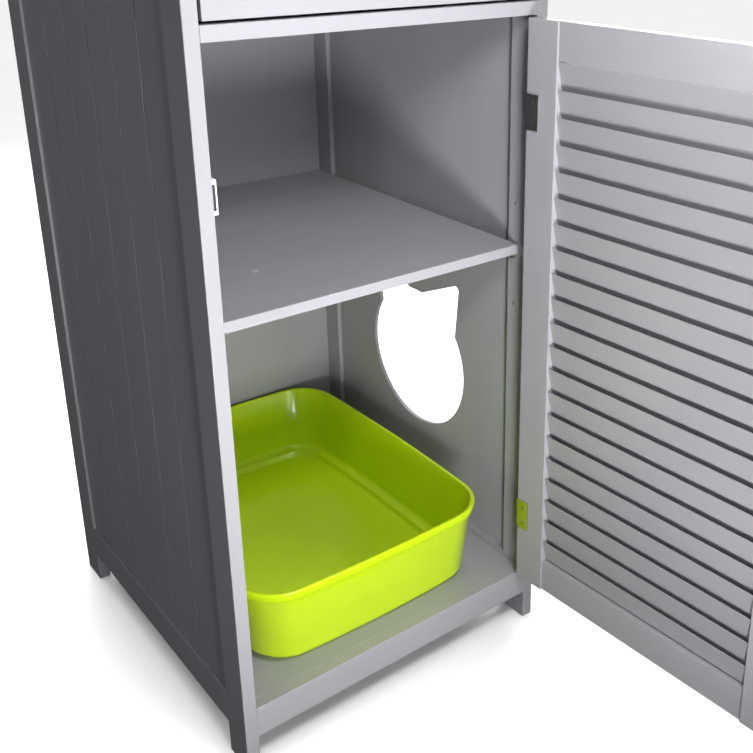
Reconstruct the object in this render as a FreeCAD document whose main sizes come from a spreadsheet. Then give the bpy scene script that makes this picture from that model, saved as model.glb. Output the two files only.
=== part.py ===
"""Cat litter box cabinet: a painted MDF cupboard with a louvre door, a drawer, a shelf and a litter pan.

Every piece is drawn in the cabinet's corner frame: x runs right from the outer face of the left side
frame, y runs back from the front face, z runs up from the floor. Its placement then carries it to the
part's own frame, whose origin is the middle of the left front foot's underside. The door is drawn shut
and its placement turns it open about the hinge pins.
"""
import FreeCAD, Part
import Sketcher
import math
import os
import re

# Driving sizes, in millimetres and degrees.
SIZES = {
    # the cabinet as a whole
    "cab_width": 420.0,         # across the two side frames
    "cab_depth": 480.0,         # front face to the back of the rear stiles
    "cab_height": 950.0,        # floor to the top of the top board
    "edge_ease": 0.8,           # small round on every painted board edge
    # side frames
    "frame_board": 15.0,        # thickness of stiles and rails
    "stile_width": 42.0,
    "side_rail": 42.0,          # height of the side frames' rails
    "foot_height": 40.0,        # the stiles run down past the lowest rail
    "panel_board": 5.0,
    "panel_recess": 6.5,        # panel behind the stiles' inner faces
    "panel_tongue": 5.0,        # panel edge inside its groove
    "groove_slack": 0.2,        # groove wider than the board in it
    "bead_pitch": 66.0,         # V grooves down the panels' outer faces
    "bead_side": 2.0,           # side of the square cutter that stands on its corner
    # boards
    "front_rail": 37.5,         # height of the rail under the door
    "front_rail_board": 15.0,
    "floor_board": 15.0,
    "divider_board": 15.0,
    "drawer_bay": 130.0,        # between the divider and the top board
    "top_board": 15.0,
    "top_overhang": 10.0,
    "top_ease": 3.0,
    "back_board": 4.0,
    "back_inset": 5.0,          # back board in from the stiles' rear faces
    "back_tongue": 6.0,
    "shelf_board": 12.0,
    "shelf_low": 510.0,         # underside of the shelf
    "shelf_front": 23.0,        # shelf edge behind the front face
    "shelf_slack": 0.5,         # shelf to stile, each side
    "cap_x": 117.7,             # cover cap on the shelf
    "cap_y": 132.5,
    "cap_radius": 4.2,
    "cap_board": 0.8,
    "cap_stem": 2.4,
    "cap_depth": 7.0,
    # shelf pins
    "peg_radius": 2.5,
    "peg_depth": 9.0,           # peg inside the stile
    "peg_slack": 0.05,
    "peg_front": 31.0,
    "peg_rear": 33.5,           # in from the rear faces
    "peg_drop": 2.6,            # peg centre below the shelf
    "peg_pitch": 64.0,          # spare holes above and below
    "spade_reach": 9.0,
    "spade_width": 9.0,
    "spade_board": 4.5,
    # dowels
    "dowel_radius": 4.0,
    "dowel_short": 9.0,         # length in the board that it meets face on
    "dowel_long": 20.0,         # length in the board that it meets end on
    "dowel_slack": 0.05,
    "dowel_end": 110.0,         # floor dowels in from the front and the rear
    # entrance cut in the right panel
    "head_up": 219.5,           # middle of the face above the floor board
    "head_wide": 105.0,         # half the face's width
    "head_tall": 100.0,         # half the face's height
    "ear_tip_out": 95.5,        # ear tip from the face's middle
    "ear_tip_up": 134.5,
    "ear_base_out": 86.0,
    "ear_base_up": 55.0,
    "ear_root_out": 14.0,
    "ear_root_up": 99.5,
    "ear_heart_out": 45.0,      # inner corner, inside the face's outline
    "ear_heart_up": 40.0,
    "ear_round": 6.0,
    # drawer
    "drawer_gap": 3.0,          # round the drawer front
    "drawer_front": 15.0,
    "drawer_side_gap": 9.0,     # side frame to drawer side
    "drawer_side": 12.0,
    "drawer_length": 400.0,     # of the sides, behind the front
    "drawer_lift": 10.0,        # box above the front's lower edge
    "drawer_drop": 24.0,        # box below the front's upper edge
    "drawer_floor": 4.0,
    "drawer_floor_up": 8.0,     # floor above the sides' lower edge
    "drawer_floor_tongue": 5.0,
    "runner_high": 14.0,
    "runner_into": 5.5,         # strip inside the drawer side's groove
    "runner_groove": 6.0,
    "runner_slack": 0.3,        # above and below the strip
    "runner_front": 18.0,
    "runner_rear": 18.0,
    # door
    "door_gap": 1.5,
    "door_board": 15.0,
    "door_stile": 44.0,
    "door_rail": 42.0,
    "door_rail_board": 12.5,    # the rails lie back from the stiles' inner faces
    "door_open": 92.5,          # as stored and as photographed
    "slat_count": 21.0,
    "slat_inset": 2.0,          # slats' inner edges behind the stiles' inner faces
    "slat_face": 27.0,          # the slats' inner faces, from edge to edge
    "slat_tilt": 13.0,          # faces from upright, high inside
    "slat_bevel": 15.5,         # sloping edges
    "slat_bevel_tilt": 20.0,    # sloping edges from upright
    "slat_flat": 1.1,           # blunt tips
    "slat_gap": 0.3,            # top slat below the top rail
    "slat_rebate": 7.0,         # step in the bottom rail, behind its outer face
    # hinges
    "hinge_foot": 95.0,         # lower hinge above the door's lower edge
    "hinge_drop": 101.0,        # upper hinge below the door's upper edge
    "leaf_high": 40.0,
    "leaf_board": 1.2,
    "leaf_wide": 18.5,          # on the door's inner face
    "leaf_frame": 14.0,         # back edge of the leaf on the stile
    "leaf_start": 0.3,          # leaves start behind the front face
    "knuckle_radius": 2.0,
    "knuckle_half": 7.0,        # half the door's knuckle
    "knuckle_gap": 0.2,
    "pin_radius": 1.0,
    "pin_slack": 0.05,
    "pin_inset": 0.2,           # pin centre in from the stile's inner face
    "pin_front": 2.0,           # pin centre before the front face
    "pin_head": 1.7,
    "pin_head_high": 1.0,
    "hinge_screw_gap": 11.2,    # screws above and below the hinge's middle
    "hinge_screw_in": 10.7,     # door screws in from the door's edge
    "screw_head": 3.0,
    "screw_shank": 1.5,
    "screw_long": 11.0,
    "screw_slack": 0.05,
    # magnetic catch
    "catch_drop": 140.0,        # catch below the door's upper edge
    "catch_high": 34.0,
    "catch_wide": 12.0,
    "catch_deep": 15.0,
    "catch_gap": 0.3,           # magnet to strike plate, door shut
    "magnet_proud": 0.3,
    "magnet_wide": 7.0,
    "magnet_high": 25.0,
    "magnet_deep": 8.0,
    "magnet_in": 3.0,           # magnet in from the stile
    "ear_board": 2.5,
    "ear_deep": 10.0,
    "ear_high": 24.0,
    "ear_screw_gap": 6.5,
    "ear_screw_long": 8.0,
    "strike_wide": 20.0,
    "strike_high": 33.0,
    "strike_in": 1.5,           # plate in from the door's free edge
    "strike_board": 1.2,
    # knobs
    "knob_radius": 14.0,
    "knob_head": 9.0,
    "knob_round": 3.4,
    "knob_neck": 5.0,
    "knob_base": 8.0,
    "knob_base_high": 2.0,
    "knob_reach": 24.0,
    "knob_drop": 188.5,         # door knob below the door's upper edge
    "bolt_radius": 2.0,
    "bolt_head": 4.0,
    "bolt_head_high": 2.2,
    "bolt_depth": 12.0,         # inside the knob
    # litter pan
    "pan_front_gap": 18.0,      # rim behind the front face
    "pan_rear_gap": 3.0,        # rim to back board
    "pan_left_gap": 17.0,       # rim to the left stiles
    "pan_right_gap": 33.0,
    "pan_height": 107.0,
    "pan_corner": 52.0,         # rim corner radius
    "pan_bow": 6.0,             # how far each side swells
    "pan_wall": 2.5,
    "pan_taper": 10.0,          # wall foot in from the wall under the rim
    "pan_lip": 3.5,             # rim out from the wall
    "pan_lip_high": 11.0,
    "pan_lip_board": 2.2,
    "pan_bend": 5.0,            # round between wall and base ring
    "pan_step": 4.0,            # base ring's lower edge in from the bend
    "pan_ring": 8.0,            # base ring height
    "pan_draft": 1.2,           # skirt's lower edge in from its widest line
    "pan_brow": 2.4,            # flat top of the rim in from its widest line
    "pan_seat": 0.1,            # pan above the floor board
}

DOC = FreeCAD.newDocument("LitterBoxCabinet")
WORD = re.compile(r"[a-z]+(?:_[a-z]+)+")

# Formulas used by more than one piece, in the corner frame.
ORIGIN_X = "(frame_board / 2)"
ORIGIN_Y = "(stile_width / 2)"
SIDE_TOP = "(cab_height - top_board)"
DIVIDER_LOW = "(cab_height - top_board - drawer_bay - divider_board)"
PANEL_LOW = "(foot_height + side_rail)"
PANEL_HIGH = "(cab_height - top_board - side_rail)"
FLOOR_TOP = "(foot_height + front_rail)"
DIVIDER_TOP = "(cab_height - top_board - drawer_bay)"
BACK_FACE = "(cab_depth - back_inset - back_board)"
INNER_WIDTH = "(cab_width - 2 * frame_board)"
SHELF_TOP = "(shelf_low + shelf_board)"
PEG_Z = "(shelf_low - peg_drop)"
DOOR_LEFT = "(frame_board + door_gap)"
DOOR_RIGHT = "(cab_width - frame_board - door_gap)"
DOOR_LOW = "(foot_height + front_rail + door_gap)"
DOOR_HIGH = f"({DIVIDER_LOW} - door_gap)"
DOOR_HEIGHT = f"({DIVIDER_LOW} - foot_height - front_rail - 2 * door_gap)"
HEAD_Z = f"({FLOOR_TOP} + head_up)"
HINGES = {"lower": f"({DOOR_LOW} + hinge_foot)", "upper": f"({DOOR_HIGH} - hinge_drop)"}
CATCH_Z = f"({DOOR_HIGH} - catch_drop)"
DOOR_KNOB_Z = f"({DOOR_HIGH} - knob_drop)"
SLATS_LOW = "(foot_height + front_rail + door_gap + door_rail)"
SLAT_PITCH = f"(({DOOR_HIGH} - door_rail - {SLATS_LOW}) / round(slat_count))"
SLAT_TOP_Y = "(door_board - slat_inset)"
SLAT_TOP_Z = f"({SLATS_LOW} + {SLAT_PITCH} - slat_gap)"
SLAT_WIDTH = f"({DOOR_RIGHT} - {DOOR_LEFT} - 2 * door_stile)"
SLAT_DROP = "(slat_face * cos(slat_tilt * 1deg) + slat_bevel * cos(slat_bevel_tilt * 1deg))"
PIN_X = "(cab_width - frame_board - pin_inset)"
PIN_Y = "(0 - pin_front)"
FRONT_LOW = f"({DIVIDER_TOP} + drawer_gap)"
FRONT_HEIGHT = "(drawer_bay - 2 * drawer_gap)"
BOX_LOW = f"({DIVIDER_TOP} + drawer_gap + drawer_lift)"
BOX_HEIGHT = "(drawer_bay - 2 * drawer_gap - drawer_lift - drawer_drop)"
BOX_LEFT = "(frame_board + drawer_side_gap)"
BOX_INNER = "(cab_width - 2 * frame_board - 2 * drawer_side_gap - 2 * drawer_side)"
RUNNER_Z = f"({BOX_LOW} + {BOX_HEIGHT} / 2)"
DRAWER_KNOB_Z = f"({FRONT_LOW} + {FRONT_HEIGHT} / 2)"
DOOR_KNOB_X = f"({DOOR_LEFT} + door_stile / 2)"
CATCH_FRONT = "(door_board + strike_board + catch_gap + magnet_proud)"

SIDES = ("left", "right")
TURNS = {
    "+x": FreeCAD.Rotation(FreeCAD.Vector(0, 1, 0), 90),
    "-x": FreeCAD.Rotation(FreeCAD.Vector(0, 1, 0), -90),
    "+y": FreeCAD.Rotation(FreeCAD.Vector(1, 0, 0), -90),
    "-y": FreeCAD.Rotation(FreeCAD.Vector(1, 0, 0), 90),
    "+z": FreeCAD.Rotation(),
    "-z": FreeCAD.Rotation(FreeCAD.Vector(1, 0, 0), 180),
}
PIECES = []


def size(name):
    """Value of one driving size."""
    return SIZES[name]


def make_sheet():
    """Spreadsheet with one aliased cell for each driving size."""
    sheet = DOC.addObject("Spreadsheet::Sheet", "Sizes")
    for row, (name, value) in enumerate(SIZES.items(), start=1):
        sheet.set(f"A{row}", name)
        sheet.set(f"B{row}", str(value))
        sheet.setAlias(f"B{row}", name)
    DOC.recompute()


def bind(thing, prop, formula):
    """Tie a property to the sheet: each word of the formula is a size."""
    thing.setExpression(prop, WORD.sub(lambda word: "Sizes." + word.group(), str(formula)))


def worked_out(formula):
    """Value of a formula, from a spare cell of the sheet."""
    DOC.Sizes.set("D1", "=" + re.sub(r"Sizes\.", "", formula))
    DOC.Sizes.recompute()
    return float(getattr(DOC.Sizes.get("D1"), "Value", DOC.Sizes.get("D1")))


def along(point, axis, amount):
    """The point moved by an amount along an axis such as +x."""
    moved = list(point)
    place = "xyz".index(axis[1])
    moved[place] = f"({moved[place]} {axis[0]} ({amount}))"
    return tuple(moved)


def from_side(side, near, far):
    """Left face of a block that lies near to far in from one side's outer face."""
    return f"({near})" if side == "left" else f"(cab_width - ({far}))"


def inward(side):
    """Direction from a side frame into the cabinet."""
    return "+x" if side == "left" else "-x"


def outward(side):
    """Direction from the cabinet into a side frame."""
    return "-x" if side == "left" else "+x"


def inner_face(side):
    """Plane of the stiles' inner faces."""
    return "frame_board" if side == "left" else "(cab_width - frame_board)"


class Piece:
    """One sub-part: a body whose features stand where the piece does in the corner frame."""

    def __init__(self, label, door=False):
        self.body = DOC.addObject("PartDesign::Body", label)
        self.body.Label = label
        self.body.AllowCompound = True
        self.origin = (PIN_X, PIN_Y, "0") if door else ("0", "0", "0")
        bind(self.body, "Placement.Base.x", f"{self.origin[0]} - {ORIGIN_X}")
        bind(self.body, "Placement.Base.y", f"{self.origin[1]} - {ORIGIN_Y}")
        if door:
            bind(self.body, "Placement.Rotation.Angle", "door_open")
        PIECES.append(self.body)

    def place(self, feature, prop, point):
        """Bind a feature's position, given in the corner frame."""
        for letter, value, start in zip("xyz", point, self.origin):
            bind(feature, f"{prop}.Base.{letter}", f"{value} - {start}")

    def solid(self, kind, point, turn=None, **sizes):
        """Add a primitive, such as AdditiveBox, with its sizes and position bound."""
        feature = self.body.newObject("PartDesign::" + kind, kind)
        feature.Placement = FreeCAD.Placement(FreeCAD.Vector(), turn or FreeCAD.Rotation())
        for prop, formula in sizes.items():
            bind(feature, prop, formula)
        self.place(feature, "Placement", point)
        return feature

    def block(self, point, dx, dy, dz):
        self.solid("AdditiveBox", point, Length=dx, Width=dy, Height=dz)
        return self

    def cut(self, point, dx, dy, dz):
        self.solid("SubtractiveBox", point, Length=dx, Width=dy, Height=dz)
        return self

    def rod(self, point, axis, radius, length):
        self.solid("AdditiveCylinder", point, TURNS[axis], Radius=radius, Height=length)
        return self

    def bore(self, point, axis, radius, length):
        self.solid("SubtractiveCylinder", point, TURNS[axis], Radius=radius, Height=length)
        return self

    def cone(self, point, axis, start, end, length):
        self.solid("AdditiveCone", point, TURNS[axis], Radius1=start, Radius2=end, Height=length)
        return self

    def sink(self, point, axis, start, end, length):
        self.solid("SubtractiveCone", point, TURNS[axis], Radius1=start, Radius2=end, Height=length)
        return self

    def ease(self, radius="edge_ease"):
        """Round every edge that the piece has so far."""
        base = self.body.Tip
        fillet = self.body.newObject("PartDesign::Fillet", "Ease")
        fillet.Base = (base, ["Edge1"])
        fillet.UseAllEdges = True
        bind(fillet, "Radius", radius)
        return self

    def sketch(self, role, name):
        """Empty sketch on one of the body's own origin planes."""
        plane = next(item for item in self.body.Origin.OriginFeatures if item.Role == role)
        sketch = self.body.newObject("Sketcher::SketchObject", name)
        sketch.AttachmentSupport = (plane, [""])
        sketch.MapMode = "FlatFace"
        return sketch


def pin_point(sketch, geo, end, name, across, up, x, y):
    """Fix one point of a sketch at bound distances from its origin."""
    for kind, value, formula, tail in (("DistanceX", x, across, "x"), ("DistanceY", y, up, "y")):
        index = sketch.addConstraint(Sketcher.Constraint(kind, -1, 1, geo, end, value))
        sketch.renameConstraint(index, f"{name}_{tail}")
        bind(sketch, f"Constraints.{name}_{tail}", formula)


def draw_outline(sketch, points):
    """Closed outline of straight lines through the points, line n starting at point n."""
    for start, end in zip(points, points[1:] + points[:1]):
        sketch.addGeometry(Part.LineSegment(FreeCAD.Vector(*start, 0), FreeCAD.Vector(*end, 0)), False)
    for line in range(len(points)):
        sketch.addConstraint(Sketcher.Constraint("Coincident", line, 2, (line + 1) % len(points), 1))


# ---------------------------------------------------------------- side frames

def panel_groove(piece, side, y, z, dy, dz):
    """Groove that takes a panel's tongue."""
    near = "frame_board - panel_recess - panel_board - groove_slack / 2"
    far = "frame_board - panel_recess + groove_slack / 2"
    piece.cut((from_side(side, near, far), y, z), "panel_board + groove_slack", dy, dz)


def front_stile(side):
    """Front upright of a side frame, which is also a foot."""
    piece = Piece(f"{side}_front_stile")
    piece.block((from_side(side, "0", "frame_board"), "0", "0"), "frame_board", "stile_width", SIDE_TOP)
    piece.ease()
    panel_groove(piece, side, "stile_width - panel_tongue", f"{PANEL_LOW} - panel_tongue",
                 "panel_tongue", f"{PANEL_HIGH} - {PANEL_LOW} + 2 * panel_tongue")
    peg_holes(piece, side, "peg_front")
    for joint in frame_joints(side, "front"):
        dowel_hole(piece, joint, deep=joint[1] == "-z")
    runner_screw_hole(piece, side, "front")
    if side == "left":
        for point in catch_screw_points():
            piece.bore(along(point, "-x", "ear_board"), "-x", "screw_shank + screw_slack",
                       "ear_screw_long - ear_board + 0.5")
    else:
        for height in HINGES.values():
            for point in frame_leaf_screws(height):
                piece.bore(point, "+x", "screw_shank + screw_slack", "leaf_board + screw_long")
    return piece


def rear_stile(side):
    """Rear upright of a side frame, grooved for the back board."""
    piece = Piece(f"{side}_rear_stile")
    piece.block((from_side(side, "0", "frame_board"), "cab_depth - stile_width", "0"),
                "frame_board", "stile_width", SIDE_TOP)
    piece.ease()
    panel_groove(piece, side, "cab_depth - stile_width", f"{PANEL_LOW} - panel_tongue",
                 "panel_tongue", f"{PANEL_HIGH} - {PANEL_LOW} + 2 * panel_tongue")
    piece.cut((from_side(side, "frame_board - back_tongue - groove_slack", "frame_board"),
               f"{BACK_FACE} - groove_slack / 2", "foot_height - groove_slack"),
              "back_tongue + groove_slack", "back_board + groove_slack",
              f"{SIDE_TOP} - foot_height + groove_slack")
    peg_holes(piece, side, "(cab_depth - peg_rear)")
    for joint in frame_joints(side, "rear"):
        dowel_hole(piece, joint, deep=joint[1] == "-z")
    runner_screw_hole(piece, side, "rear")
    return piece


def side_rail(side, name, low, groove_z, joints):
    """Rail between the stiles of a side frame."""
    piece = Piece(f"{side}_{name}_rail")
    piece.block((from_side(side, "0", "frame_board"), "stile_width", low),
                "frame_board", "cab_depth - 2 * stile_width", "side_rail")
    piece.ease()
    panel_groove(piece, side, "stile_width", groove_z, "cab_depth - 2 * stile_width", "panel_tongue")
    for joint in joints:
        dowel_hole(piece, joint, deep=False)
    return piece


def side_panel(side):
    """Thin panel held in the frame's grooves, with V grooves down its outer face."""
    piece = Piece(f"{side}_panel")
    near = "(frame_board - panel_recess - panel_board)"
    far = "(frame_board - panel_recess)"
    edge = "panel_tongue - groove_slack"
    piece.block((from_side(side, near, far), f"stile_width - ({edge})", f"{PANEL_LOW} - ({edge})"),
                "panel_board", f"cab_depth - 2 * stile_width + 2 * ({edge})",
                f"{PANEL_HIGH} - {PANEL_LOW} + 2 * ({edge})")
    face = near if side == "left" else f"(cab_width - {near})"
    bays = round((size("cab_depth") - 2 * size("stile_width")) / size("bead_pitch"))
    for bead in range(1, bays):
        piece.solid("SubtractiveBox",
                    (face, f"stile_width + {bead} * bead_pitch - bead_side * 0.7071", f"{PANEL_LOW} - panel_tongue"),
                    FreeCAD.Rotation(FreeCAD.Vector(0, 0, 1), 45), Length="bead_side", Width="bead_side",
                    Height=f"{PANEL_HIGH} - {PANEL_LOW} + 2 * panel_tongue")
    return piece


def cut_entrance(piece):
    """Cat's head opening: an oval face with two ears."""
    face = piece.sketch("YZ_Plane", "Face")
    y, z = size("cab_depth") / 2, worked_out(HEAD_Z)
    wide, tall = size("head_wide"), size("head_tall")
    face.addGeometry(Part.Ellipse(FreeCAD.Vector(y + wide, z, 0), FreeCAD.Vector(y, z + tall, 0),
                                  FreeCAD.Vector(y, z, 0)), False)
    face.exposeInternalGeometry(0)
    face.addConstraint(Sketcher.Constraint("Horizontal", 1))
    for line, name, formula, value in ((1, "wide", "2 * head_wide", 2 * wide), (2, "tall", "2 * head_tall", 2 * tall)):
        index = face.addConstraint(Sketcher.Constraint("Distance", line, value))
        face.renameConstraint(index, name)
        bind(face, f"Constraints.{name}", formula)
    pin_point(face, 0, 3, "middle", "cab_depth / 2", HEAD_Z, y, z)
    pocket(piece, face, "FaceCut")
    for ear, sign in (("Front", -1), ("Rear", 1)):
        corners = [("base", "ear_base"), ("tip", "ear_tip"), ("root", "ear_root"), ("heart", "ear_heart")]
        sketch = piece.sketch("YZ_Plane", f"{ear}Ear")
        points = [(y + sign * size(key + "_out"), z + size(key + "_up")) for name, key in corners]
        draw_outline(sketch, points)
        for line, (name, key) in enumerate(corners):
            pin_point(sketch, line, 1, name, f"cab_depth / 2 + {sign} * {key}_out",
                      f"{HEAD_Z} + {key}_up", *points[line])
        pocket(piece, sketch, f"{ear}EarCut")
    round_ear_tips(piece)


def pocket(piece, sketch, name):
    """Cut a sketch right through the piece, both ways."""
    cut = piece.body.newObject("PartDesign::Pocket", name)
    cut.Profile = sketch
    cut.Midplane = True
    cut.Type = 1
    sketch.Visibility = False
    return cut


def round_ear_tips(piece):
    """Round the two sharp ear tips."""
    DOC.recompute()
    tips = []
    tip_z = worked_out(f"{HEAD_Z} + ear_tip_up")
    for number, edge in enumerate(piece.body.Tip.Shape.Edges, start=1):
        box = edge.BoundBox
        if abs(box.ZMin - tip_z) < 0.01 and box.ZLength < 0.01 and box.YLength < 0.01:
            tips.append(f"Edge{number}")
    fillet = piece.body.newObject("PartDesign::Fillet", "EarTips")
    fillet.Base = (fillet.BaseFeature, tips)
    bind(fillet, "Radius", "ear_round")


# ---------------------------------------------------------------- boards and dowels

def frame_joints(side, end):
    """Dowel joints of one stile: the divider's, the top board's and at the front the rail's.

    Each is a point between two boards and the direction into the one that the dowel enters end on.
    """
    face = inner_face(side)
    y = "stile_width / 2" if end == "front" else "(cab_depth - stile_width + dowel_radius * 3)"
    joints = [((face, y, f"({DIVIDER_LOW} + divider_board / 2)"), inward(side))]
    middle = "frame_board / 2" if side == "left" else "(cab_width - frame_board / 2)"
    joints.append(((middle, y, SIDE_TOP), "-z"))
    if end == "front":
        joints.append(((face, "front_rail_board / 2", "(foot_height + front_rail / 2)"), inward(side)))
    return joints


def floor_joints(side):
    """Dowel joints between a side frame's bottom rail and the floor board."""
    z = f"({FLOOR_TOP} - floor_board / 2)"
    return [((inner_face(side), y, z), inward(side)) for y in ("dowel_end", "(cab_depth - dowel_end)")]


def dowel_hole(piece, joint, deep):
    """Hole for the long or the short half of a dowel."""
    point, axis = joint
    back = {"+x": "-x", "-x": "+x", "-z": "+z"}[axis]
    length = "dowel_long" if deep else "dowel_short"
    piece.bore(point, axis if deep else back, "dowel_radius + dowel_slack", f"{length} + 0.5")


def all_joints():
    """Every dowel joint in the cabinet."""
    joints = []
    for side in SIDES:
        joints += frame_joints(side, "front") + frame_joints(side, "rear") + floor_joints(side)
    return joints


def dowels():
    """Beech dowels, half in the side frames and half in the boards."""
    piece = Piece("dowels")
    for point, axis in all_joints():
        start = along(point, axis, "0 - dowel_short")
        piece.rod(start, axis, "dowel_radius", "dowel_short + dowel_long")
    return piece


def front_rail():
    """Rail under the door, flush with the stiles and the floor board."""
    piece = Piece("front_rail")
    piece.block(("frame_board", "0", "foot_height"), INNER_WIDTH, "front_rail_board", "front_rail").ease()
    for side in SIDES:
        dowel_hole(piece, frame_joints(side, "front")[2], deep=True)
    return piece


def floor_board():
    """Board that the pan stands on."""
    piece = Piece("floor_board")
    piece.block(("frame_board", "front_rail_board", f"{FLOOR_TOP} - floor_board"),
                INNER_WIDTH, f"{BACK_FACE} - front_rail_board", "floor_board").ease()
    for side in SIDES:
        for joint in floor_joints(side):
            dowel_hole(piece, joint, deep=True)
    return piece


def divider_board():
    """Board between the cupboard and the drawer."""
    piece = Piece("divider_board")
    piece.block(("frame_board", "0", DIVIDER_LOW), INNER_WIDTH, BACK_FACE, "divider_board").ease()
    for side in SIDES:
        for end in ("front", "rear"):
            dowel_hole(piece, frame_joints(side, end)[0], deep=True)
    return piece


def top_board():
    """Top, standing out at the front and the sides."""
    piece = Piece("top_board")
    piece.block(("0 - top_overhang", "0 - top_overhang", SIDE_TOP),
                "cab_width + 2 * top_overhang", "cab_depth + top_overhang", "top_board").ease("top_ease")
    for side in SIDES:
        for end in ("front", "rear"):
            dowel_hole(piece, frame_joints(side, end)[1], deep=False)
    return piece


def back_board():
    """Thin back, held in the rear stiles' grooves."""
    piece = Piece("back_board")
    piece.block(("frame_board - back_tongue", BACK_FACE, "foot_height"),
                f"{INNER_WIDTH} + 2 * back_tongue", "back_board", f"{SIDE_TOP} - foot_height")
    return piece


def shelf():
    """Loose shelf on four pins."""
    piece = Piece("shelf")
    piece.block(("frame_board + shelf_slack", "shelf_front", "shelf_low"),
                f"{INNER_WIDTH} - 2 * shelf_slack", f"{BACK_FACE} - shelf_slack - shelf_front", "shelf_board").ease()
    piece.bore(("cap_x", "cap_y", SHELF_TOP), "-z", "cap_stem + peg_slack", "cap_depth + 0.5")
    return piece


def shelf_cap():
    """Small metal cover cap on the shelf."""
    piece = Piece("shelf_cap")
    piece.rod(("cap_x", "cap_y", SHELF_TOP), "+z", "cap_radius", "cap_board").ease("cap_board * 0.4")
    piece.rod(("cap_x", "cap_y", f"{SHELF_TOP} + cap_board / 2"), "-z", "cap_stem", "cap_depth + cap_board / 2")
    return piece


def peg_holes(piece, side, y):
    """Row of shelf pin holes in a stile's inner face."""
    for step in (-1, 0, 1):
        piece.bore((inner_face(side), y, f"{PEG_Z} + {step} * peg_pitch"), outward(side),
                   "peg_radius + peg_slack", "peg_depth + 0.5")


def shelf_pins():
    """Pins with a flat spade that the shelf rests on."""
    piece = Piece("shelf_pins")
    for side in SIDES:
        for y in ("peg_front", "(cab_depth - peg_rear)"):
            face = inner_face(side)
            piece.rod(along((face, y, PEG_Z), inward(side), "1"), outward(side), "peg_radius", "peg_depth + 1")
            x = face if side == "left" else f"({face} - spade_reach)"
            piece.block((x, f"{y} - spade_width / 2", "shelf_low - spade_board"),
                        "spade_reach", "spade_width", "spade_board")
    return piece


# ---------------------------------------------------------------- drawer

def drawer_front():
    """Inset drawer front, grooved for the drawer's floor."""
    piece = Piece("drawer_front")
    piece.block(("frame_board + drawer_gap", "0", FRONT_LOW),
                f"{INNER_WIDTH} - 2 * drawer_gap", "drawer_front", FRONT_HEIGHT).ease()
    piece.cut((f"{BOX_LEFT} + drawer_side - drawer_floor_tongue", "drawer_front - drawer_floor_tongue",
               f"{BOX_LOW} + drawer_floor_up"),
              f"{BOX_INNER} + 2 * drawer_floor_tongue", "drawer_floor_tongue", "drawer_floor + groove_slack")
    piece.bore(("cab_width / 2", "0", DRAWER_KNOB_Z), "+y", "bolt_radius + screw_slack", "drawer_front")
    return piece


def drawer_side(side):
    """Drawer side with a groove for the runner outside and one for the floor inside."""
    piece = Piece(f"drawer_{side}_side")
    outer, inner = BOX_LEFT, f"({BOX_LEFT} + drawer_side)"
    piece.block((from_side(side, outer, inner), "drawer_front", BOX_LOW),
                "drawer_side", "drawer_length", BOX_HEIGHT).ease()
    piece.cut((from_side(side, outer, f"{outer} + runner_groove"), "drawer_front",
               f"{RUNNER_Z} - runner_high / 2 - runner_slack"),
              "runner_groove", "drawer_length", "runner_high + 2 * runner_slack")
    piece.cut((from_side(side, f"{inner} - drawer_floor_tongue", inner), "drawer_front",
               f"{BOX_LOW} + drawer_floor_up"),
              "drawer_floor_tongue", "drawer_length - drawer_side + drawer_floor_tongue",
              "drawer_floor + groove_slack")
    return piece


def drawer_back():
    """Drawer back, between the sides."""
    piece = Piece("drawer_back")
    y = "(drawer_front + drawer_length - drawer_side)"
    piece.block((f"{BOX_LEFT} + drawer_side", y, BOX_LOW), BOX_INNER, "drawer_side", BOX_HEIGHT).ease()
    piece.cut((f"{BOX_LEFT} + drawer_side", y, f"{BOX_LOW} + drawer_floor_up"),
              BOX_INNER, "drawer_floor_tongue", "drawer_floor + groove_slack")
    return piece


def drawer_floor():
    """Thin floor in the grooves of the other four boards."""
    piece = Piece("drawer_floor")
    tongue = "(drawer_floor_tongue - groove_slack)"
    piece.block((f"{BOX_LEFT} + drawer_side - {tongue}", f"drawer_front - {tongue}", f"{BOX_LOW} + drawer_floor_up"),
                f"{BOX_INNER} + 2 * {tongue}", f"drawer_length - drawer_side + 2 * {tongue}", "drawer_floor")
    return piece


def runner_screw_point(side, end):
    """Where a runner screw enters the strip's inner face."""
    y = "stile_width / 2 + 9" if end == "front" else "(cab_depth - stile_width / 2 - 9)"
    return along((inner_face(side), y, RUNNER_Z), inward(side), "drawer_side_gap + runner_into")


def runner_screw_hole(piece, side, end):
    """Pilot hole for a runner screw in a stile."""
    piece.bore(runner_screw_point(side, end), outward(side), "screw_shank + screw_slack",
               "drawer_side_gap + runner_into + screw_long - 1")


def runner(side):
    """Wooden strip that the drawer slides on."""
    piece = Piece(f"{side}_drawer_runner")
    reach = "(drawer_side_gap + runner_into)"
    piece.block((from_side(side, "frame_board", f"frame_board + {reach}"), "runner_front",
                 f"{RUNNER_Z} - runner_high / 2"),
                reach, f"{BACK_FACE} - runner_front - runner_rear", "runner_high").ease()
    for end in ("front", "rear"):
        point = runner_screw_point(side, end)
        piece.bore(point, outward(side), "screw_shank + screw_slack", reach)
        piece.sink(point, outward(side), "screw_head + screw_slack", "screw_shank + screw_slack",
                   "screw_head - screw_shank")
    return piece


def wood_screw(piece, point, axis, length):
    """Countersunk screw whose head lies flush at the point."""
    piece.cone(point, axis, "screw_head", "screw_shank", "screw_head - screw_shank")
    piece.rod(along(point, axis, "0.5"), axis, "screw_shank", f"{length} - 0.5")


def runner_screws():
    """Screws that hold the runners."""
    piece = Piece("runner_screws")
    for side in SIDES:
        for end in ("front", "rear"):
            wood_screw(piece, runner_screw_point(side, end), outward(side),
                       "drawer_side_gap + runner_into + screw_long - 2")
    return piece


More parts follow.
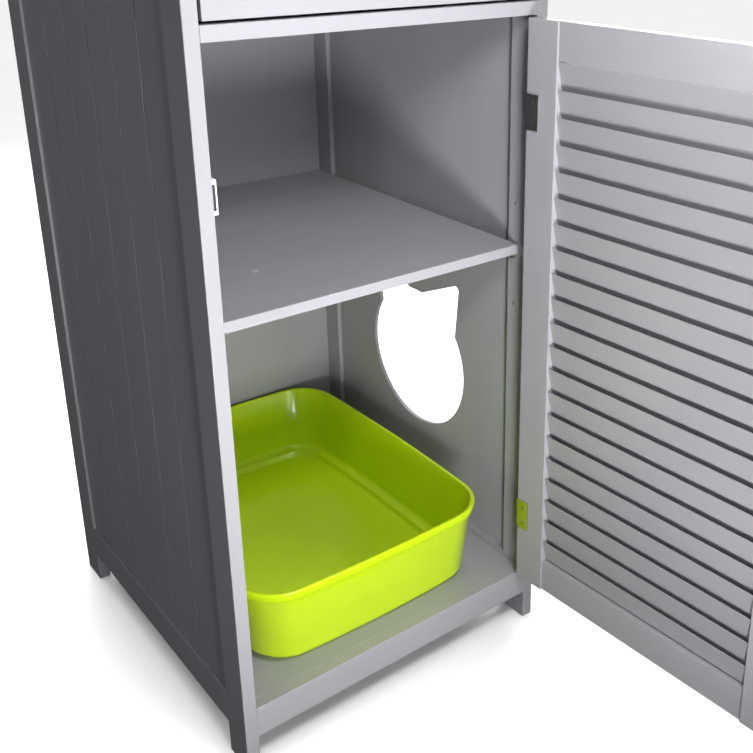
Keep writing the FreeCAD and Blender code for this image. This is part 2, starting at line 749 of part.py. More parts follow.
def knob(label, x, z, door):
    """Turned metal knob on a front."""
    piece = Piece(label, door)
    tip = (x, "0 - knob_reach", z)
    piece.rod(tip, "+y", "knob_radius", "knob_head").ease("knob_round")
    piece.cone(along(tip, "+y", "knob_head / 2"), "+y", "knob_radius * 0.6", "knob_neck",
               "knob_reach - knob_head / 2 - knob_base_high * 2")
    piece.cone((x, "0 - knob_base_high * 2.5", z), "+y", "knob_neck", "knob_base", "knob_base_high * 1.5")
    piece.rod((x, "0 - knob_base_high", z), "+y", "knob_base", "knob_base_high")
    piece.bore((x, "0", z), "-y", "bolt_radius + screw_slack", "bolt_depth + 0.5")
    return piece


def knob_screw(label, x, z, board, door):
    """Machine screw through a front into its knob."""
    piece = Piece(label, door)
    piece.rod((x, board, z), "+y", "bolt_head", "bolt_head_high").ease("bolt_head_high * 0.3")
    piece.rod((x, f"{board} + bolt_head_high / 2", z), "-y", "bolt_radius",
              f"{board} + bolt_head_high / 2 + bolt_depth")
    return piece


# ---------------------------------------------------------------- door

def door_stile(label, x, holes):
    """Upright of the door; holes lists the cuts that its fittings need."""
    piece = Piece(label, door=True)
    piece.block((x, "0", DOOR_LOW), "door_stile", "door_board", DOOR_HEIGHT).ease()
    holes(piece)
    return piece


def hinge_side_holes(piece):
    """Mortises for the leaves in the door's edge, and pilot holes behind them."""
    for height in HINGES.values():
        piece.cut((f"{DOOR_RIGHT} - leaf_board", "0", f"{height} - leaf_high / 2 - groove_slack / 2"),
                  "leaf_board", "door_board", "leaf_high + groove_slack")
        for point in door_leaf_screws(height):
            piece.bore(point, "-y", "screw_shank + screw_slack", "leaf_board + screw_long")


def free_side_holes(piece):
    """Holes for the knob's screw and the strike plate's screw."""
    piece.bore((DOOR_KNOB_X, "0", DOOR_KNOB_Z), "+y", "bolt_radius + screw_slack", "door_board")
    piece.bore(strike_screw_point(), "-y", "screw_shank + screw_slack", "strike_board + screw_long")


def door_rail(label, z):
    """Rail of the door, a little thinner than the stiles."""
    piece = Piece(label, door=True)
    piece.block((f"{DOOR_LEFT} + door_stile", "0", z), SLAT_WIDTH, "door_rail_board", "door_rail").ease()
    return piece


def cut_slat_rebate(rail):
    """Step in the bottom rail's outer edge for the tip of the lowest slat."""
    depth = f"({SLATS_LOW} - {SLAT_TOP_Z} + {SLAT_DROP} + slat_gap)"
    rail.cut((f"{DOOR_LEFT} + door_stile", "0", f"{SLATS_LOW} - {depth}"), SLAT_WIDTH, "slat_rebate", depth)


def slat_corners():
    """Corners of the lowest slat's section, as formulas for y and z."""
    face = ("slat_face * sin(slat_tilt * 1deg)", "slat_face * cos(slat_tilt * 1deg)")
    bevel = ("slat_bevel * sin(slat_bevel_tilt * 1deg)", "slat_bevel * cos(slat_bevel_tilt * 1deg)")
    y, z = f"({SLAT_TOP_Y} - {PIN_Y})", SLAT_TOP_Z
    return [
        (y, z),
        (f"{y} - {face[0]}", f"{z} - {face[1]}"),
        (f"{y} - {face[0]} - {bevel[0]}", f"{z} - {face[1]} - {bevel[1]}"),
        (f"{y} - {face[0]} - {bevel[0]} - slat_flat", f"{z} - {face[1]} - {bevel[1]}"),
        (f"{y} - {bevel[0]} - slat_flat", f"{z} - {bevel[1]}"),
        (f"{y} - slat_flat", z),
    ]


def louvre_slats():
    """Tilted slats, high inside and low outside, with sloping edges that hide the room behind."""
    piece = Piece("louvre_slats", door=True)
    sketch = piece.sketch("YZ_Plane", "SlatSection")
    bind(sketch, "AttachmentOffset.Base.z", f"{DOOR_LEFT} + door_stile - {PIN_X}")
    corners = slat_corners()
    points = [tuple(worked_out(formula) for formula in corner) for corner in corners]
    draw_outline(sketch, points)
    for line, (formulas, point) in enumerate(zip(corners, points)):
        pin_point(sketch, line, 1, f"corner{line}", *formulas, *point)
    pad = piece.body.newObject("PartDesign::Pad", "Slat")
    pad.Profile = sketch
    bind(pad, "Length", SLAT_WIDTH)
    sketch.Visibility = False
    pattern = piece.body.newObject("PartDesign::LinearPattern", "Slats")
    pattern.Originals = [pad]
    pattern.Direction = (sketch, ["V_Axis"])
    bind(pattern, "Occurrences", "round(slat_count)")
    bind(pattern, "Length", f"{SLAT_PITCH} * (round(slat_count) - 1)")
    piece.body.Tip = pattern
    return piece


# ---------------------------------------------------------------- hinges

def frame_leaf_screws(height):
    """Points on the stile leaf's face where its screws enter."""
    y = "(leaf_start + leaf_frame) / 2"
    return [("(cab_width - frame_board - leaf_board)", y, f"({height} {sign} hinge_screw_gap)") for sign in "+-"]


def door_leaf_screws(height):
    """Points on the door leaf's face where its screws enter."""
    return [(f"({DOOR_RIGHT} - hinge_screw_in)", "(door_board + leaf_board)", f"({height} {sign} hinge_screw_gap)")
            for sign in "+-"]


def leaf_hole(piece, point, axis):
    """Countersunk hole through a leaf."""
    piece.bore(point, axis, "screw_shank + screw_slack", "leaf_board")
    piece.sink(point, axis, "screw_head + screw_slack", "screw_shank + screw_slack", "leaf_board * 0.9")


def frame_leaf(place, height):
    """Leaf on the stile's inner face, with the upper and lower knuckles."""
    piece = Piece(f"{place}_hinge_frame_leaf")
    x = "(cab_width - frame_board - leaf_board)"
    piece.block((x, "leaf_start", f"{height} - leaf_high / 2"), "leaf_board", "leaf_frame - leaf_start", "leaf_high")
    knuckle = "(leaf_high / 2 - knuckle_half - knuckle_gap)"
    for low in (f"({height} - leaf_high / 2)", f"({height} + knuckle_half + knuckle_gap)"):
        piece.block((x, PIN_Y, low), "leaf_board", "pin_front + leaf_start", knuckle)
        piece.rod((PIN_X, PIN_Y, low), "+z", "knuckle_radius", knuckle)
    piece.bore((PIN_X, PIN_Y, f"{height} - leaf_high / 2"), "+z", "pin_radius + pin_slack", "leaf_high")
    for point in frame_leaf_screws(height):
        leaf_hole(piece, point, "+x")
    return piece


def door_leaf(place, height):
    """Leaf that wraps the door's edge and lies on its inner face, with the middle knuckle."""
    piece = Piece(f"{place}_hinge_door_leaf", door=True)
    x = f"({DOOR_RIGHT} - leaf_board)"
    low = f"({height} - leaf_high / 2)"
    piece.block((x, "leaf_start", low), "leaf_board", "door_board + leaf_board - leaf_start", "leaf_high")
    piece.block((f"{DOOR_RIGHT} - leaf_wide", "door_board", low), "leaf_wide", "leaf_board", "leaf_high")
    piece.block((x, PIN_Y, f"{height} - knuckle_half"), "leaf_board", "pin_front + leaf_start", "2 * knuckle_half")
    piece.rod((PIN_X, PIN_Y, f"{height} - knuckle_half"), "+z", "knuckle_radius", "2 * knuckle_half")
    piece.bore((PIN_X, PIN_Y, low), "+z", "pin_radius + pin_slack", "leaf_high")
    for point in door_leaf_screws(height):
        leaf_hole(piece, point, "-y")
    return piece


def hinge_pin(place, height):
    """Hinge pin with a small head at each end."""
    piece = Piece(f"{place}_hinge_pin")
    piece.rod((PIN_X, PIN_Y, f"{height} - leaf_high / 2 - pin_head_high / 2"), "+z", "pin_radius",
              "leaf_high + pin_head_high")
    piece.rod((PIN_X, PIN_Y, f"{height} + leaf_high / 2"), "+z", "pin_head", "pin_head_high")
    piece.rod((PIN_X, PIN_Y, f"{height} - leaf_high / 2"), "-z", "pin_head", "pin_head_high")
    return piece


def thin_screw(piece, point, axis):
    """Screw in a leaf: its head is as deep as the leaf."""
    piece.cone(point, axis, "screw_head", "screw_shank", "leaf_board * 0.9")
    piece.rod(along(point, axis, "leaf_board / 2"), axis, "screw_shank", "screw_long")


def hinge_screws(label, points, axis, door):
    """The screws of both hinges' leaves on one side."""
    piece = Piece(label, door)
    for height in HINGES.values():
        for point in points(height):
            thin_screw(piece, point, axis)
    return piece


# ---------------------------------------------------------------- catch

def catch_screw_points():
    """Points on the catch's ear where its screws enter."""
    y = f"({CATCH_FRONT} + catch_deep + ear_deep / 2)"
    return [("(frame_board + ear_board)", y, f"({CATCH_Z} {sign} ear_screw_gap)") for sign in "+-"]


def catch_body():
    """Plastic body of the magnetic catch, with an ear that is screwed to the stile."""
    piece = Piece("catch_body")
    piece.block(("frame_board", CATCH_FRONT, f"{CATCH_Z} - catch_high / 2"), "catch_wide", "catch_deep", "catch_high")
    piece.ease()
    piece.block(("frame_board", f"{CATCH_FRONT} + catch_deep - 2", f"{CATCH_Z} - ear_high / 2"),
                "ear_board", "ear_deep + 2", "ear_high")
    piece.cut(("frame_board + magnet_in", CATCH_FRONT, f"{CATCH_Z} - magnet_high / 2"),
              "magnet_wide", "magnet_deep - magnet_proud", "magnet_high")
    for point in catch_screw_points():
        piece.bore(point, "-x", "screw_shank + screw_slack", "ear_board")
        piece.sink(point, "-x", "screw_head + screw_slack", "screw_shank + screw_slack", "leaf_board * 0.9")
    return piece


def catch_magnet():
    """Magnet in the catch, a little proud of it."""
    piece = Piece("catch_magnet")
    piece.block(("frame_board + magnet_in", f"{CATCH_FRONT} - magnet_proud", f"{CATCH_Z} - magnet_high / 2"),
                "magnet_wide", "magnet_deep", "magnet_high")
    return piece


def catch_screws():
    """Screws that hold the catch."""
    piece = Piece("catch_screws")
    for point in catch_screw_points():
        piece.cone(point, "-x", "screw_head", "screw_shank", "leaf_board * 0.9")
        piece.rod(along(point, "-x", "leaf_board / 2"), "-x", "screw_shank", "ear_screw_long - leaf_board / 2")
    return piece


def strike_screw_point():
    """Point on the strike plate where its screw enters."""
    return (f"({DOOR_LEFT} + strike_in + strike_wide - 5)", "(door_board + strike_board)", CATCH_Z)


def strike_plate():
    """Steel plate on the door that the magnet holds."""
    piece = Piece("strike_plate", door=True)
    piece.block((f"{DOOR_LEFT} + strike_in", "door_board", f"{CATCH_Z} - strike_high / 2"),
                "strike_wide", "strike_board", "strike_high")
    point = strike_screw_point()
    piece.bore(point, "-y", "screw_shank + screw_slack", "strike_board")
    piece.sink(point, "-y", "screw_head + screw_slack", "screw_shank + screw_slack", "leaf_board * 0.9")
    return piece


def strike_screw():
    """Screw of the strike plate."""
    piece = Piece("strike_screw", door=True)
    thin_screw(piece, strike_screw_point(), "-y")
    return piece


# ---------------------------------------------------------------- litter pan

def pan_loop(inset, height):
    """Closed outline of the pan: four swelling sides that run into round corners."""
    left, right, front, rear = pan_sides()
    half_x = (right - left) / 2 - inset
    half_y = (rear - front) / 2 - inset
    corner = size("pan_corner") - 0.45 * inset
    bow = size("pan_bow")
    side_x = (half_y ** 2 + bow ** 2) / (2 * bow)
    side_y = (half_x ** 2 + bow ** 2) / (2 * bow)
    start_x, start_y = half_x - side_x, half_y - side_y
    reach_x, reach_y = side_x - corner, side_y - corner
    gap = math.hypot(start_x, start_y)
    part = (reach_x ** 2 - reach_y ** 2 + gap ** 2) / (2 * gap)
    rise = math.sqrt(reach_x ** 2 - part ** 2)
    to_x, to_y = -start_x / gap, start_y / gap
    middle = FreeCAD.Vector(start_x + part * to_x - rise * to_y, part * to_y + rise * to_x, 0)
    if middle.x < 0 or middle.y < 0:
        middle = FreeCAD.Vector(start_x + part * to_x + rise * to_y, part * to_y - rise * to_x, 0)
    near_x = FreeCAD.Vector(start_x, 0, 0) + (middle - FreeCAD.Vector(start_x, 0, 0)) * (side_x / reach_x)
    near_y = FreeCAD.Vector(0, start_y, 0) + (middle - FreeCAD.Vector(0, start_y, 0)) * (side_y / reach_y)
    out = ((near_x - middle) + (near_y - middle)).normalize()
    peak = middle + out * corner

    def put(point, sign_x, sign_y):
        return FreeCAD.Vector((left + right) / 2 + sign_x * point.x, (front + rear) / 2 + sign_y * point.y,
                              pan_base() + height)

    side_mid, end_mid = FreeCAD.Vector(half_x, 0, 0), FreeCAD.Vector(0, half_y, 0)
    stops = [(near_x, 1, -1), (side_mid, 1, 1), (near_x, 1, 1), (peak, 1, 1), (near_y, 1, 1), (end_mid, 1, 1),
             (near_y, -1, 1), (peak, -1, 1), (near_x, -1, 1), (side_mid, -1, 1), (near_x, -1, -1), (peak, -1, -1),
             (near_y, -1, -1), (end_mid, 1, -1), (near_y, 1, -1), (peak, 1, -1), (near_x, 1, -1)]
    points = [put(*stop) for stop in stops]
    arcs = [Part.Arc(*points[start:start + 3]).toShape() for start in range(0, len(points) - 1, 2)]
    return Part.Wire(arcs)


def pan_sides():
    """Places of the rim's left, right, front and rear."""
    return (size("frame_board") + size("pan_left_gap"),
            size("cab_width") - size("frame_board") - size("pan_right_gap"),
            size("pan_front_gap"), worked_out(BACK_FACE) - size("pan_rear_gap"))


def pan_base():
    """Height of the pan's underside above the floor."""
    return size("foot_height") + size("front_rail") + size("pan_seat")


def pan_solid(profile):
    """Solid through outlines given as (inset from the rim, height) pairs."""
    return Part.makeLoft([pan_loop(inset, height) for inset, height in profile], True, True)


def litter_pan():
    """Moulded pan: tapered walls, a stepped base and a rim with a turned-down skirt."""
    high, wall, lip = size("pan_height"), size("pan_wall"), size("pan_lip")
    step, bend, taper, ring = size("pan_step"), size("pan_bend"), size("pan_taper"), size("pan_ring")
    board, skirt = size("pan_lip_board"), size("pan_lip_high")
    draft, brow = size("pan_draft"), size("pan_brow")
    foot = lip + taper
    low = ring + bend
    outside = [(foot + bend + step, 0), (foot + bend + step * 0.4, ring), (foot + bend * 0.8, ring * 1.08),
               (foot + bend * 0.3, ring + bend * 0.35), (foot, low), (lip, high - board)]
    inside = [(inset + wall, height + wall) for inset, height in outside[:-1]]
    inside += [(lip + wall, high - board), (lip + wall * 0.6, high + board)]
    rim = [(draft, high - skirt), (0, high - board * 1.6), (brow * 0.25, high - board * 0.5), (brow, high)]
    hollow = [(draft + board, high - skirt - board), (board * 1.2, high - board)]
    seat = [(board * 1.2, high - board * 1.01), (board * 1.2, high - board * 0.3)]
    shell = pan_solid(outside).fuse(pan_solid(rim).cut(pan_solid(hollow)))
    shell = shell.fuse(pan_solid(seat)).cut(pan_solid(inside)).removeSplitter()
    feature = DOC.addObject("Part::Feature", "litter_pan")
    feature.Label = "litter_pan"
    feature.Shape = shell
    bind(feature, "Placement.Base.x", f"0 - {ORIGIN_X}")
    bind(feature, "Placement.Base.y", f"0 - {ORIGIN_Y}")
    PIECES.append(feature)


# ---------------------------------------------------------------- the whole cabinet

def build():
    """Make every piece."""
    make_sheet()
    for side in SIDES:
        front_stile(side)
        rear_stile(side)
        side_rail(side, "bottom", "foot_height", f"{PANEL_LOW} - panel_tongue", floor_joints(side))
        side_rail(side, "top", PANEL_HIGH, PANEL_HIGH, [])
        panel = side_panel(side)
        if side == "right":
            cut_entrance(panel)
        drawer_side(side)
        runner(side)
    for make in (front_rail, floor_board, divider_board, top_board, back_board, dowels, shelf, shelf_cap,
                 shelf_pins, drawer_front, drawer_back, drawer_floor, runner_screws, louvre_slats,
                 catch_body, catch_magnet, catch_screws, strike_plate, strike_screw, litter_pan):
        make()
    door_stile("door_free_stile", DOOR_LEFT, free_side_holes)
    door_stile("door_hinge_stile", f"{DOOR_RIGHT} - door_stile", hinge_side_holes)
    cut_slat_rebate(door_rail("door_bottom_rail", DOOR_LOW))
    door_rail("door_top_rail", f"{DOOR_HIGH} - door_rail")
    for place, height in HINGES.items():
        frame_leaf(place, height)
        door_leaf(place, height)
        hinge_pin(place, height)
    hinge_screws("hinge_frame_screws", frame_leaf_screws, "+x", door=False)
    hinge_screws("hinge_door_screws", door_leaf_screws, "-y", door=True)
    knob("drawer_knob", "cab_width / 2", DRAWER_KNOB_Z, door=False)
    knob_screw("drawer_knob_screw", "cab_width / 2", DRAWER_KNOB_Z, "drawer_front", door=False)
    knob("door_knob", DOOR_KNOB_X, DOOR_KNOB_Z, door=True)
    knob_screw("door_knob_screw", DOOR_KNOB_X, DOOR_KNOB_Z, "door_board", door=True)


def check_and_export():
    """Stop on any failed feature or bad shape, then write one file for each piece."""
    DOC.recompute()
    for item in DOC.Objects:
        if "Invalid" in item.State or "Error" in item.State:
            raise RuntimeError(f"{item.Label} ({item.Name}) failed: {item.State}")
    for piece in PIECES:
        if piece.Shape.isNull() or not piece.Shape.isValid() or not piece.Shape.Solids:
            raise RuntimeError(f"{piece.Label} has no valid solid")
    os.makedirs("parts", exist_ok=True)
    for piece in PIECES:
        piece.Shape.exportStep(f"parts/{piece.Label}.step")
        print(f"{piece.Label}: {len(piece.Shape.Solids)} solid(s), {piece.Shape.Volume / 1000:.2f} cm3")


build()
check_and_export()
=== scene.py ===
"""Looks of the cat litter box cabinet: finishes, moulded pan, cross-head screws, light and camera.

Sizes are in metres in the part's own frame, whose origin is the middle of the left front foot's
underside. Sizes measured from the cabinet's left front corner are turned into it by from_corner().
"""
from __future__ import annotations

import logging
import math
from dataclasses import dataclass, field
from enum import Enum

import bmesh
import bpy
from mathutils import Matrix, Vector


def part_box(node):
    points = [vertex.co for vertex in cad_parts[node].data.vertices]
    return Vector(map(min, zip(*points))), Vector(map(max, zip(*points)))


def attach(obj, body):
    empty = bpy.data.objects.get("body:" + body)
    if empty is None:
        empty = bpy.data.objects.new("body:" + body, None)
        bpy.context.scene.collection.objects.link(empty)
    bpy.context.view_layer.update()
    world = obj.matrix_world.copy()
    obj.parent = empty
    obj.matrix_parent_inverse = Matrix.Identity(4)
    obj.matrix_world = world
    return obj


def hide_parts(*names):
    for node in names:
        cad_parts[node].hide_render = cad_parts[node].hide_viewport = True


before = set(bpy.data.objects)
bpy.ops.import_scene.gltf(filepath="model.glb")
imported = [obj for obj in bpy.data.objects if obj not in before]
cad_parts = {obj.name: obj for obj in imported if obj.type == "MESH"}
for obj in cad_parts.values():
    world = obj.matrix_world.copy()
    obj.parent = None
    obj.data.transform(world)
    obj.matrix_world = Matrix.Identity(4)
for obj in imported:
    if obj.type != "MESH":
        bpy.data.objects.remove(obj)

LOG = logging.getLogger("cabinet")
MM = 0.001
CORNER = Vector((-7.5, -21.0, 0.0)) * MM


# ---------------------------------------------------------------- helpers

def from_corner(x: float, y: float, z: float) -> Vector:
    """Point in the part's frame.

    Args:
        x: millimetres right of the left side frame's outer face.
        y: millimetres behind the front face.
        z: millimetres above the floor.

    Returns:
        The point in metres.
    """
    return Vector((x, y, z)) * MM + CORNER


def linear(code: str) -> tuple[float, float, float, float]:
    """Colour for a shader socket.

    Args:
        code: sRGB hex code such as "#A9AAAE".

    Returns:
        Linear red, green, blue and full alpha.
    """
    levels = [int(code[start:start + 2], 16) / 255 for start in (1, 3, 5)]
    mixed = [level / 12.92 if level <= 0.04045 else ((level + 0.055) / 1.055) ** 2.4 for level in levels]
    return (*mixed, 1.0)


def add_node(tree: bpy.types.NodeTree, kind: str, inputs: dict | None = None, **settings: object) -> bpy.types.Node:
    """Add one node with its settings and links.

    Args:
        tree: node tree that gets the node.
        kind: Blender's name of the node type.
        inputs: value or output socket for each input, by name or number.
        settings: the node's own properties.

    Returns:
        The new node.
    """
    node = tree.nodes.new(kind)
    for name, value in settings.items():
        setattr(node, name, value)
    for name, value in (inputs or {}).items():
        if isinstance(value, bpy.types.NodeSocket):
            tree.links.new(value, node.inputs[name])
        else:
            node.inputs[name].default_value = value
    return node


def scale_for(millimetres: float) -> float:
    """Noise scale whose features are about that many millimetres wide."""
    return 1.0 / (millimetres * MM)


class Run(Enum):
    """Way that a board's roller marks or grain run."""

    ACROSS = (0.4, 1.0, 1.0)
    DEEP = (1.0, 0.4, 1.0)
    UPRIGHT = (1.0, 1.0, 0.4)


# ---------------------------------------------------------------- finishes

@dataclass(frozen=True)
class Finish:
    """A finish: one named material with colour, gloss and fine relief from its own nodes."""

    name: str
    colour: str
    second_colour: str
    roughness: float
    roughness_spread: float
    cloud_mm: float
    relief_mm: float
    relief_depth_mm: float
    metallic: float = 0.0
    ior: float = 1.5
    coat: float = 0.0
    run: Run | None = None

    def material(self) -> bpy.types.Material:
        """Make the material once and give it again later."""
        known = bpy.data.materials.get(self.name)
        return known or self._mix()

    def _mix(self) -> bpy.types.Material:
        """Build the nodes: coordinates, cloudy colour, uneven gloss and relief."""
        made = bpy.data.materials.new(self.name)
        made.use_nodes = True
        tree = made.node_tree
        tree.nodes.clear()
        place = add_node(tree, "ShaderNodeTexCoord").outputs["Object"]
        if self.run:
            place = add_node(tree, "ShaderNodeMapping", {"Vector": place, "Scale": self.run.value}).outputs[0]
        cloud = add_node(tree, "ShaderNodeTexNoise", {
            "Vector": place, "Scale": scale_for(self.cloud_mm), "Detail": 4.0, "Roughness": 0.55})
        tint = add_node(tree, "ShaderNodeMix", {
            0: self._stretched(tree, cloud.outputs["Fac"]), 6: linear(self.colour), 7: linear(self.second_colour)},
            data_type="RGBA")
        gloss = add_node(tree, "ShaderNodeMapRange", {
            "Value": cloud.outputs["Fac"], "From Min": 0.3, "From Max": 0.7,
            "To Min": self.roughness - self.roughness_spread, "To Max": self.roughness + self.roughness_spread})
        shader = add_node(tree, "ShaderNodeBsdfPrincipled", {
            "Base Color": tint.outputs[2], "Roughness": gloss.outputs[0], "Metallic": self.metallic,
            "Normal": self._relief(tree, place)})
        if not self.metallic:
            shader.inputs["IOR"].default_value = self.ior
        if self.coat:
            shader.inputs["Coat Weight"].default_value = self.coat
        add_node(tree, "ShaderNodeOutputMaterial", {"Surface": shader.outputs[0]})
        return made

    def _stretched(self, tree: bpy.types.NodeTree, value: bpy.types.NodeSocket) -> bpy.types.NodeSocket:
        """Noise spread over the whole range from 0 to 1."""
        return add_node(tree, "ShaderNodeMapRange", {"Value": value, "From Min": 0.32, "From Max": 0.68}).outputs[0]

    def _relief(self, tree: bpy.types.NodeTree, place: bpy.types.NodeSocket) -> bpy.types.NodeSocket:
        """Fine bumps of the surface.

        Args:
            tree: the material's nodes.
            place: coordinates of the pattern.

        Returns:
            The bent normal.
        """
        grain = add_node(tree, "ShaderNodeTexNoise", {
            "Vector": place, "Scale": scale_for(self.relief_mm), "Detail": 3.0, "Roughness": 0.5})
        return add_node(tree, "ShaderNodeBump", {
            "Height": grain.outputs["Fac"], "Distance": self.relief_depth_mm * MM, "Strength": 1.0}).outputs[0]


@dataclass(frozen=True)
class BeechWood(Finish):
    """Planed beech: straight grain with short dark flecks, no varnish."""

    grain_mm: float = 4.0

    def _relief(self, tree: bpy.types.NodeTree, place: bpy.types.NodeSocket) -> bpy.types.NodeSocket:
        """Pores along the grain."""
        pores = add_node(tree, "ShaderNodeTexWave", {
            "Vector": place, "Scale": scale_for(self.grain_mm) / 6, "Distortion": 6.0, "Detail": 3.0},
            bands_direction="DIAGONAL")
        return add_node(tree, "ShaderNodeBump", {
            "Height": pores.outputs["Fac"], "Distance": self.relief_depth_mm * MM, "Strength": 0.6}).outputs[0]


@dataclass(frozen=True)
class MouldedPolypropylene(Finish):
    """Glossy moulded polypropylene: clear sheen, faint sink marks, a little light passes into it."""

    glow: float = 0.12
    wave_mm: float = 45.0

    def _mix(self) -> bpy.types.Material:
        """Add the light that passes into the plastic."""
        made = super()._mix()
        shader = next(node for node in made.node_tree.nodes if node.type == "BSDF_PRINCIPLED")
        shader.inputs["Subsurface Weight"].default_value = self.glow
        shader.inputs["Subsurface Radius"].default_value = (1.0, 1.2, 0.3)
        shader.inputs["Subsurface Scale"].default_value = 0.003
        return made

    def _relief(self, tree: bpy.types.NodeTree, place: bpy.types.NodeSocket) -> bpy.types.NodeSocket:
        """Sink marks, and the mould's fine skin on top of them."""
        waves = add_node(tree, "ShaderNodeTexNoise", {
            "Vector": place, "Scale": scale_for(self.wave_mm), "Detail": 1.0})
        broad = add_node(tree, "ShaderNodeBump", {
            "Height": waves.outputs["Fac"], "Distance": 0.5 * MM, "Strength": 1.0})
        skin = add_node(tree, "ShaderNodeTexNoise", {
            "Vector": place, "Scale": scale_for(self.relief_mm), "Detail": 2.0})
        return add_node(tree, "ShaderNodeBump", {
            "Height": skin.outputs["Fac"], "Distance": self.relief_depth_mm * MM, "Strength": 1.0,
            "Normal": broad.outputs[0]}).outputs[0]


@dataclass(frozen=True)
class LaidGrain(Finish):
    """Brushed metal: hair lines along one way."""

    line_mm: float = 0.5

    def _relief(self, tree: bpy.types.NodeTree, place: bpy.types.NodeSocket) -> bpy.types.NodeSocket:
        """Hair lines drawn coarse enough to show in a picture of the whole cabinet."""
        drawn = add_node(tree, "ShaderNodeMapping", {"Vector": place, "Scale": (1.0, 1.0, 0.04)}).outputs[0]
        lines = add_node(tree, "ShaderNodeTexNoise", {
            "Vector": drawn, "Scale": scale_for(self.line_mm), "Detail": 2.0})
        return add_node(tree, "ShaderNodeBump", {
            "Height": lines.outputs["Fac"], "Distance": self.relief_depth_mm * MM, "Strength": 0.5}).outputs[0]


def satin_paint(run: Run) -> Finish:
    """Grey water-based lacquer rolled on fibreboard: even colour, satin sheen, faint orange peel.

    Args:
        run: way that the roller went.

    Returns:
        The finish.
    """
    # Orange peel is about 1 mm across; it is drawn 2.4 mm across so that it shows.
    return Finish(f"satin_grey_lacquer_{run.name.lower()}", "#9C9BA0", "#98979C", 0.38, 0.04, 60.0, 2.4, 0.009,
                  run=run)


# Hardboard painted on its smooth face: a little flatter than the boards.
PAINTED_HARDBOARD = Finish("painted_hardboard", "#9A999D", "#969599", 0.48, 0.05, 70.0, 2.0, 0.012, run=Run.UPRIGHT)
# Beech strip and dowels, planed and left bare.
BARE_BEECH = BeechWood("planed_beech", "#C69C6D", "#B5895B", 0.6, 0.06, 14.0, 2.0, 0.05, run=Run.DEEP)
# Steel with bright nickel plate: a hard mirror that takes the colours around it.
BRIGHT_NICKEL = Finish("bright_nickel_plate", "#C9C5BD", "#BDB9B0", 0.17, 0.05, 6.0, 1.5, 0.006, metallic=1.0)
# Turned zinc knob with a satin nickel plate: broad soft highlights.
SATIN_NICKEL = LaidGrain("satin_nickel_plate", "#BDB8AE", "#B1ACA2", 0.32, 0.05, 8.0, 1.0, 0.01, metallic=1.0)
# Barrel-rubbed nickel plate: it scatters light so widely that it looks pale from above.
MATT_NICKEL = Finish("barrel_rubbed_nickel_plate", "#E4E2DC", "#D8D6D0", 0.7, 0.06, 3.0, 0.6, 0.02, metallic=1.0)
# Zinc-plated screws, slightly dull.
ZINC_PLATE = Finish("zinc_plated_screw", "#C8C8C6", "#AFAFAE", 0.28, 0.07, 2.0, 0.8, 0.01, metallic=1.0)
# Injection-moulded ABS: soft sheen, nearly white.
WHITE_ABS = Finish("white_moulded_abs", "#ECECE9", "#E5E5E2", 0.36, 0.05, 12.0, 0.9, 0.008, ior=1.53)
# Sintered ferrite between steel cheeks: dull and dark.
DARK_FERRITE = Finish("dark_ferrite", "#26262A", "#1C1C1F", 0.52, 0.08, 4.0, 0.7, 0.03)
# Lime polypropylene as it leaves the mould.
LIME_PLASTIC = MouldedPolypropylene("lime_polypropylene", "#BFDC14", "#BAD810", 0.15, 0.03, 90.0, 1.6, 0.004,
                                    ior=1.49)


def dress(node: str, finish: Finish) -> bpy.types.Object:
    """Give every slot of a carried-over node the finish.

    Args:
        node: the node's name.
        finish: what it wears.

    Returns:
        The node's object.
    """
    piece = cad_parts[node]
    if not piece.data.materials:
        piece.data.materials.append(None)
    for slot in piece.material_slots:
        slot.link = "OBJECT"
        slot.material = finish.material()
    LOG.info("%s wears %s", node, finish.name)
    return piece


def stand(work: bmesh.types.BMesh, name: str, finish: Finish, smooth: bool = True) -> bpy.types.Object:
    """Turn a bmesh into an object at the origin and free the bmesh.

    Args:
        work: the shape, in the part's frame.
        name: the piece's name.
        finish: what it wears.
        smooth: shade it smooth.

    Returns:
        The new object.
    """
    mesh = bpy.data.meshes.new(name)
    for face in work.faces:
        face.smooth = smooth
    work.to_mesh(mesh)
    work.free()
    piece = bpy.data.objects.new(name, mesh)
    bpy.context.scene.collection.objects.link(piece)
    mesh.materials.append(finish.material())
    LOG.info("%s: %d faces", name, len(mesh.polygons))
    return piece


# ---------------------------------------------------------------- carcass

@dataclass
class Carcass:
    """Side frames, panels, boards and the dowels that join them."""

    upright: tuple[str, ...] = ("left_front_stile", "left_rear_stile", "right_front_stile", "right_rear_stile",
                                "left_panel", "right_panel")
    deep: tuple[str, ...] = ("left_bottom_rail", "left_top_rail", "right_bottom_rail", "right_top_rail")
    across: tuple[str, ...] = ("front_rail", "floor_board", "divider_board", "top_board")

    def dress(self) -> None:
        """Paint the boards along their length and leave the dowels bare."""
        for names, run in ((self.upright, Run.UPRIGHT), (self.deep, Run.DEEP), (self.across, Run.ACROSS)):
            for name in names:
                dress(name, satin_paint(run))
        dress("back_board", PAINTED_HARDBOARD)
        dress("dowels", BARE_BEECH)


@dataclass
class Shelf:
    """Shelf on four plated pins, with its cover cap."""

    def dress(self) -> None:
        """Paint the board and plate the small parts."""
        dress("shelf", satin_paint(Run.ACROSS))
        dress("shelf_cap", MATT_NICKEL)
        dress("shelf_pins", SATIN_NICKEL)


